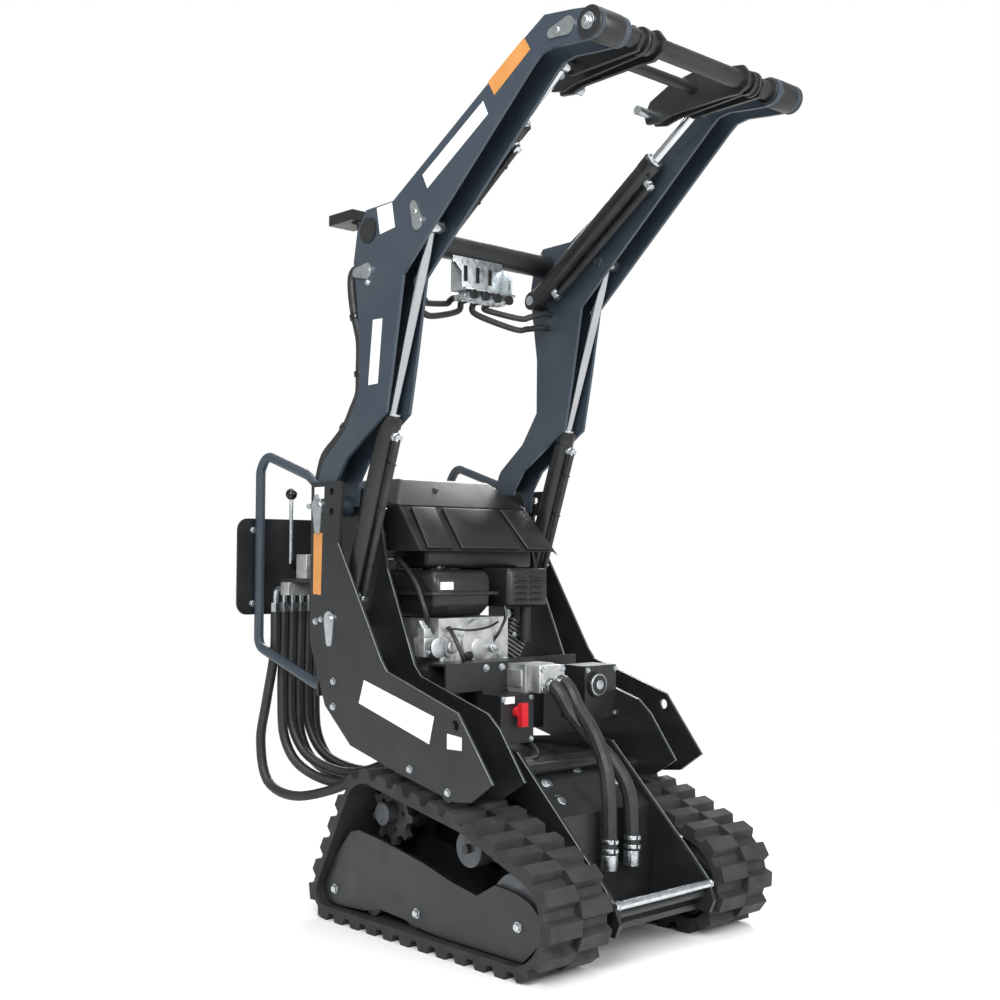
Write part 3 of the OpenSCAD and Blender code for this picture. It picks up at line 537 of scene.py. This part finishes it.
# %% Cylinder fittings
# Each kind: name, eye x, eye z, far eye x, far eye z, y, barrel radius, barrel length
CYLINDERS = [("lift", -347, 706, -39, 1617, 292.5, 25, 511), ("tilt", -227, 1533, 315, 1918, 224, 26, 500)]
PORT_LOW, PORT_BACK = 66, 46
for kind, x, z, far_x, far_z, y, radius, length in CYLINDERS:
    way = Vector((far_x - x, 0, far_z - z)).normalized()
    front = Vector((way.z, 0, -way.x))
    for name, side in BOTH:
        def on(run, off):
            """A place run mm along the barrel and off mm in front of its axis."""
            return tuple(Vector((x, side * y, z)) + way * run + front * off)
        body = kind + "_barrel_" + name
        pipe, fittings, ties = bmesh.new(), bmesh.new(), bmesh.new()
        far = length - PORT_BACK
        off = radius + 13
        tube(pipe, [on(PORT_LOW, radius + 4), on(PORT_LOW + 3, off), on(PORT_LOW + 30, off + 1), on(far / 2, off + 1),
                    on(far - 30, off + 1), on(far - 3, off), on(far, radius + 4)], 8)
        finished("%s_pipe_%s" % (kind, name), pipe, HOSE_RUBBER, body)
        for run in (PORT_LOW, far):
            disc(fittings, on(run, radius - 1), front, 12, 10)
            disc(fittings, on(run, radius + 9), front, 11, 12, sides=6)
        gland(fittings, on(length + 0.2, 0), way, radius * 0.82, 13.4, 6)
        finished("%s_fittings_%s" % (kind, name), fittings, ZINC, body, edge=0.8)
        for run in (150, 290, 400):
            disc(ties, on(run, off + 1), way, 10.2, 5)
        gland(ties, on(length - 30, 0), way, radius + 1.8, radius + 0.1, 28)
        finished("%s_ties_%s" % (kind, name), ties, KNOB, body, edge=0.6)
        if kind == "tilt":
            # The rod reaches far into its barrel, so that it stays guided when the hitch is tipped
            inner = bmesh.new()
            disc(inner, on(180, 0), way, 12.9, length - 60 - 180 + 4, sides=48)
            finished("tilt_rod_inner_" + name, inner, CHROME, "tilt_rod_" + name)

# %% [markdown]
# The hitch turns on sleeves on the arms' tips. Two bright latch pins and their slotted side plates
# hold a bucket. Plates are cut by laser, so their edges are square and a little bare.

# %% Hitch plates
SLOTTED = [(511, 1911), (511, 1937), (440, 1958), (380, 1966), (300, 1952), (240, 1930), (222, 1908), (228, 1886),
           (262, 1880), (300, 1888), (457, 1897), (497, 1899)]
for name, side in BOTH:
    mesh = bmesh.new()
    slab(mesh, [(x, side * 170, z) for x, z in SLOTTED], (0, side * 8, 0))
    finished("hitch_plate_" + name, mesh, FRAME_PAINT, "hitch", edge=0.8)
    mesh = bmesh.new()
    for y in (184, 246):
        disc(mesh, (497, side * y, 1923), (0, side, 0), 29, 8, sides=40)
    finished("hitch_collars_" + name, mesh, FRAME_PAINT, "hitch", edge=1)
    mesh = bmesh.new()
    for x, z in ((420, 1940), (345, 1944), (262, 1912)):
        bolt(mesh, (x, side * 178, z), (0, side, 0), 7)
    finished("hitch_bolts_" + name, mesh, ZINC, "hitch")

# %% [markdown]
# The hydraulic tank's hoses end in crimped fittings with worm clamps. Beside them sit a sight glass,
# a filler cap and a drain plug, and a bright tie rod runs across in front. Under the hood lies the
# engine's air cleaner, and a loop of cable hangs below the isolator.

# %% Tank fittings and air cleaner
mesh = bmesh.new()
for y in (-13, 62):
    disc(mesh, (254, y, 163), UP, 19, 34)
    for z in (202, 222):
        disc(mesh, (254, y, z), UP, 18.6, 9, sides=32)
        brick(mesh, (268, y - 5, z), (278, y + 5, z + 9))
for y, z in ((18, 563.5), (-18, 558)):
    disc(mesh, (73, y, z), (0.97, 0, -0.2), 18.4, 9, sides=32)
finished("hose_clamps", mesh, ZINC, "chassis", edge=0.8)
mesh = bmesh.new()
bmesh.ops.create_cone(mesh, cap_ends=True, segments=24, radius1=9 * MM, radius2=9 * MM, depth=0.3,
                      matrix=Matrix.Translation(at(404, 0, 134)) @ Matrix.Rotation(math.pi / 2, 4, "X"))
for side in (-1, 1):
    bolt(mesh, (404, side * 150, 134), (0, side, 0), 10)
finished("tie_rod", mesh, ZINC, "chassis")
front = Vector((0.645, 0, 0.764))
mesh = bmesh.new()
for along, y, radius, high in ((150, -100, 20, 9), (95, -100, 15, 6), (60, 20, 15, 6), (120, 104, 17, 8)):
    spot = Vector((100, y, 380)) + Vector((0.764, 0, -0.645)) * (along - 40)
    disc(mesh, tuple(spot), front, radius, high, sides=32)
    disc(mesh, tuple(spot), front, radius * 0.62, high + 4, sides=6)
finished("tank_plugs", mesh, ZINC, "chassis", edge=1)
mesh = bmesh.new()
brick(mesh, (-330, -165, 829), (-205, 190, 884))
finished("air_cleaner", mesh, SHROUD, "chassis", edge=12)
mesh = bmesh.new()
tube(mesh, [(-10, -120, 426), (-4, -122, 404), (40, -100, 392), (70, -62, 398), (40, -40, 416), (0, -52, 426)], 6)
tube(mesh, [(-150, -150, 700), (-98, -168, 668), (-80, -160, 628), (-92, -140, 600)], 5)
tube(mesh, [(-330, -160, 850), (-260, -205, 850), (-180, -222, 800), (-140, -226, 740), (-150, -206, 700)], 6)
finished("cables", mesh, HOSE_RUBBER, "chassis")

# %% [markdown]
# The pump's front is a cast cover with rounded edges. On the engine, ribs stiffen the casting, a
# flange carries the tank and a carburettor body stands beside the throttle disc.

# %% Castings
mesh = bmesh.new()
brick(mesh, (20.4, -42, 541), (60, 42, 604))
brick(mesh, (-41, -53, 552), (10, 48, 594))
for x in (-139, -133):
    brick(mesh, (x, -190, 590), (x + 4, 20, 604))
for y in (-150, -96, -48, -8):
    brick(mesh, (-131, y, 606), (-117, y + 5, 634))
brick(mesh, (-150, -60, 664), (-116, -4, 676))
brick(mesh, (-148, -46, 676), (-126, -18, 709))
brick(mesh, (-172, -232, 622), (-132, -198, 668))
brick(mesh, (-166, -226, 668), (-140, -204, 690))
finished("castings", mesh, ALLOY, "chassis", edge=3)
mesh = bmesh.new()
disc(mesh, (-121, -36, 640), AHEAD, 12, 20, sides=32)
disc(mesh, (-101, -36, 640), AHEAD, 7, 5, sides=6)
disc(mesh, (-131, -215, 632), AHEAD, 8, 14, sides=24)
finished("casting_plugs", mesh, ZINC, "chassis", edge=0.8)

# %% [markdown]
# A thin pale strip is laid along the front edges of the towers and of the undercarriage's side plates: a
# painted highlight that stands in for the light caught on the plates' square corners.

# %% Painted edge highlights
# Painted highlight: these pale grey strips stand in for light caught on the plates' front edges
EDGE_HIGHLIGHT_PAINT = skin("painted edge highlight, pale grey", "#8f9497", "#6d7275", 0.4, 0.55, 3.0, 0.03, metallic=0.5, drift=25)
# Each row: the plate's outer y, then the corners of its front edge from the bottom up
CORNERS = [(347, [(231, 383), (119, 522), (-128, 596), (-150, 621), (-320, 890)]),
           (252, [(228, 377), (149, 482), (111, 513), (-120, 580), (-145, 605), (-250, 830)]),
           (160, [(400, 140), (337, 203), (107, 421)])]
mesh = bmesh.new()
for name, side in BOTH:
    for y, corners in CORNERS:
        for (x0, z0), (x1, z1) in zip(corners, corners[1:]):
            out_way = Vector((z1 - z0, 0, x0 - x1)).normalized()
            slab(mesh, [(x0, side * (y - 2.6), z0), (x0, side * y, z0), (x1, side * y, z1), (x1, side * (y - 2.6), z1)],
                 out_way * 0.4)
finished("painted_edge_highlights", mesh, EDGE_HIGHLIGHT_PAINT, "chassis")

# %% [markdown]
# Black sleeves end the arms' tips, with the heads of the hitch pins. A plate hangs below the cross
# channel beside the isolator, and the round socket of the side box has a bright ring.

# %% Sleeves, channel apron and socket
mesh = bmesh.new()
for name, side in BOTH:
    disc(mesh, (497, side * 265.3, 1923), (0, side, 0), 33, 60.4, sides=48)
    disc(mesh, (497, side * 334.3, 1923), (0, side, 0), 33, 8, sides=48)
finished("tip_sleeves", mesh, FRAME_PAINT, "arms", edge=1.5)
mesh = bmesh.new()
for name, side in BOTH:
    disc(mesh, (497, side * 342, 1923), (0, side, 0), 17, 5, sides=32)
    bolt(mesh, (497, side * 347, 1923), (0, side, 0), 9)
finished("hitch_pin_heads", mesh, ZINC, "arms", edge=0.5)
mesh = bmesh.new()
brick(mesh, (-104, -243, 436), (-99, 130, 544.5))
brick(mesh, (-331, -80, 700), (-260, 60, 826))
finished("channel_apron", mesh, FRAME_PAINT, "chassis", edge=1)
mesh = bmesh.new()
disc(mesh, (48, 172, 548), AHEAD, 27, 3, sides=40)
disc(mesh, (51, 172, 548), AHEAD, 12, 3, sides=32)
finished("socket_ring", mesh, ZINC, "chassis", edge=0.6)
mesh = bmesh.new()
disc(mesh, (51, 172, 548), AHEAD, 23, 1.5, sides=40)
finished("socket_face", mesh, KNOB, "chassis")

# %% [markdown]
# Bolts hold what was bolted on the real machine: the pins' lock plates, the console, the boxes, the
# track frames' guards, the tower plates. Each row of the table is a place, a direction and a thread.

# %% Bolts
PANEL = -705.8
BOLTS = [("chassis", (PANEL - 0.1, y, z), (-1, 0, 0), 8) for y in (-340, -120, 120, 340) for z in (735, 925)]
BOLTS += [("chassis", (PANEL + 5, y, z), AHEAD, 8) for y in (-340, 340) for z in (735, 925)]
BOLTS += [("chassis", (37, y, z), AHEAD, 6) for y in (-136, -47) for z in (435, 531)]
BOLTS += [("chassis", (40, y, z), AHEAD, 6) for y in (142, 240) for z in (475, 584)]
BOLTS += [("chassis", (-40, y, 598), AHEAD, 8) for y in (-120, -70, -10)]
BOLTS += [("chassis", (60, y, z), AHEAD, 7) for y in (-33, 33) for z in (550, 595)]
for side in (-1, 1):
    out_y = (0, side, 0)
    BOLTS += [("chassis", (x, side * 343, z), out_y, 10) for x, z in ((-320, 72), (-17, 72), (306, 106))]
    BOLTS += [("chassis", (x, side * 347, z), out_y, 8) for x, z in ((-405, 1000), (-405, 700), (-330, 560),
                                                                 (-330, 500), (-40, 385), (90, 350))]
    BOLTS += [("chassis", (x, side * 352, z), out_y, 7) for x, z in ((pin_x - 30, pin_z) for pin_x, pin_z in
                                                                 ((-400, 980), (-347, 706)))]
    BOLTS += [("arms", (x, side * 334, z), out_y, 7) for x, z in ((-49, 1642), (-227, 1506), (405, 1932))]
for body in ("chassis", "arms"):
    mesh = bmesh.new()
    for owner, place, along, size in BOLTS:
        if owner == body:
            bolt(mesh, place, along, size)
    finished("bolts_" + body, mesh, ZINC, body)
print("bolts:", len(BOLTS))

# %% [markdown]
# Labels on the real machine carry words. Here they are blank vinyl, as large and where they were.

# %% Blank labels
# Each label: body, material, y of its surface, corners x and z
OUT_ARM, OUT_TOWER = -334.0, -347.0
LABELS = [("arms", VINYL, OUT_ARM, [(176, 1842), (192, 1810), (-10, 1688), (-27, 1722)]),
          ("arms", ORANGE, OUT_ARM, [(191, 1880), (212, 1846), (322, 1916), (303, 1946)]),
          ("arms", VINYL, OUT_ARM, [(-195, 1678), (-138, 1680), (-126, 1620), (-182, 1613)]),
          ("arms", VINYL, OUT_ARM, [(-206, 1414), (-170, 1413), (-186, 1262), (-222, 1261)]),
          ("chassis", VINYL, OUT_TOWER, [(-211, 571), (-230, 516), (26, 447), (42, 508)]),
          ("chassis", VINYL, OUT_TOWER, [(86, 476), (134, 472), (134, 444), (86, 443)]),
          ("chassis", ORANGE, OUT_TOWER, [(-418, 914), (-382, 914), (-386, 764), (-418, 766)]),
          ("chassis", VINYL, OUT_TOWER, [(-416, 1026), (-376, 1026), (-376, 998), (-416, 996)])]
for number, (body, material, y, corners) in enumerate(LABELS):
    mesh = bmesh.new()
    slab(mesh, [(x, y, z) for x, z in corners], (0, -0.5, 0))
    finished("label_%d" % number, mesh, material, body)
mesh = bmesh.new()
brick(mesh, (37, -132, 520), (37.5, -100, 536))
brick(mesh, (-124, -190, 780), (-123.4, -150, 798))
finished("label_front", mesh, VINYL, "chassis")
print("pieces:", len(PIECES), "faces:", sum(count for name, count in PIECES))

# %% [markdown]
# The studio is plain: a pale floor that keeps the machine's shadow, a white surround that metal can
# mirror, and large soft lamps in front, above and behind, as a photographer would light black steel.

# %% Studio
def plane(name, size, place, material):
    """A flat square on the floor."""
    mesh = bmesh.new()
    bmesh.ops.create_grid(mesh, x_segments=1, y_segments=1, size=size)
    bmesh.ops.translate(mesh, verts=mesh.verts, vec=place)
    data = bpy.data.meshes.new(name)
    mesh.to_mesh(data)
    mesh.free()
    data.materials.append(material)
    made = bpy.data.objects.new(name, data)
    bpy.context.scene.collection.objects.link(made)
    return made


FLOOR_SIZE = 30.0
floor_paper, floor_shader = new_material("studio paper, white")
floor_shader.inputs["Base Color"].default_value = linear("#f4f4f3")
floor_shader.inputs["Roughness"].default_value = 0.9
# The paper fades into the white surround away from the machine
floor_place = add(floor_paper, "ShaderNodeTexCoord").outputs["Object"]
far_off = add(floor_paper, "ShaderNodeVectorMath", {"operation": "LENGTH"}, _0=floor_place)
fade = add(floor_paper, "ShaderNodeMapRange", {"interpolation_type": "SMOOTHSTEP"}, Value=far_off.outputs["Value"])
fade.inputs["From Min"].default_value = 1.1
fade.inputs["From Max"].default_value = 2.4
glow = add(floor_paper, "ShaderNodeEmission", Color=linear("#ffffff"))
paper_mix = add(floor_paper, "ShaderNodeMixShader", Fac=fade.outputs["Result"])
join(floor_paper, floor_shader.outputs["BSDF"], paper_mix.inputs[1])
join(floor_paper, glow.outputs["Emission"], paper_mix.inputs[2])
join(floor_paper, paper_mix.outputs["Shader"], floor_paper.node_tree.nodes["Material Output"].inputs["Surface"])
plane("floor", FLOOR_SIZE, (0, 0, 0), floor_paper)

world = bpy.data.worlds.new("studio")
bpy.context.scene.world = world
world.use_nodes = True
sky = world.node_tree.nodes["Background"]
sky.inputs["Color"].default_value = linear("#ffffff")
sky.inputs["Strength"].default_value = 0.45
seen = world.node_tree.nodes.new("ShaderNodeBackground")
seen.inputs["Color"].default_value = linear("#ffffff")
seen.inputs["Strength"].default_value = 1.0
paths = world.node_tree.nodes.new("ShaderNodeLightPath")
mixer = world.node_tree.nodes.new("ShaderNodeMixShader")
world.node_tree.links.new(paths.outputs["Is Camera Ray"], mixer.inputs["Fac"])
world.node_tree.links.new(sky.outputs["Background"], mixer.inputs[1])
world.node_tree.links.new(seen.outputs["Background"], mixer.inputs[2])
world.node_tree.links.new(mixer.outputs["Shader"], world.node_tree.nodes["World Output"].inputs["Surface"])

# Each lamp: name, place, size in metres and power in watts; all look at the machine's middle
LAMPS = [("key lamp", (2.6, -3.6, 3.4), 2.6, 250),
         ("front lamp", (4.2, 0.6, 2.2), 2.4, 120),
         ("rim lamp", (-2.6, 3.0, 3.2), 2.2, 130),
         ("top lamp", (0.2, 0.0, 4.4), 2.8, 90)]
middle = (cad_box[0] + cad_box[1]) / 2
for name, place, size, power in LAMPS:
    lamp = bpy.data.lights.new(name, "AREA")
    lamp.shape = "SQUARE"
    lamp.size = size
    lamp.energy = power
    holder = bpy.data.objects.new(name, lamp)
    holder.location = place
    holder.rotation_euler = (middle - Vector(place)).to_track_quat("-Z", "Y").to_euler()
    bpy.context.scene.collection.objects.link(holder)
bpy.context.scene.view_settings.view_transform = "Standard"
print("lamps:", len(LAMPS))
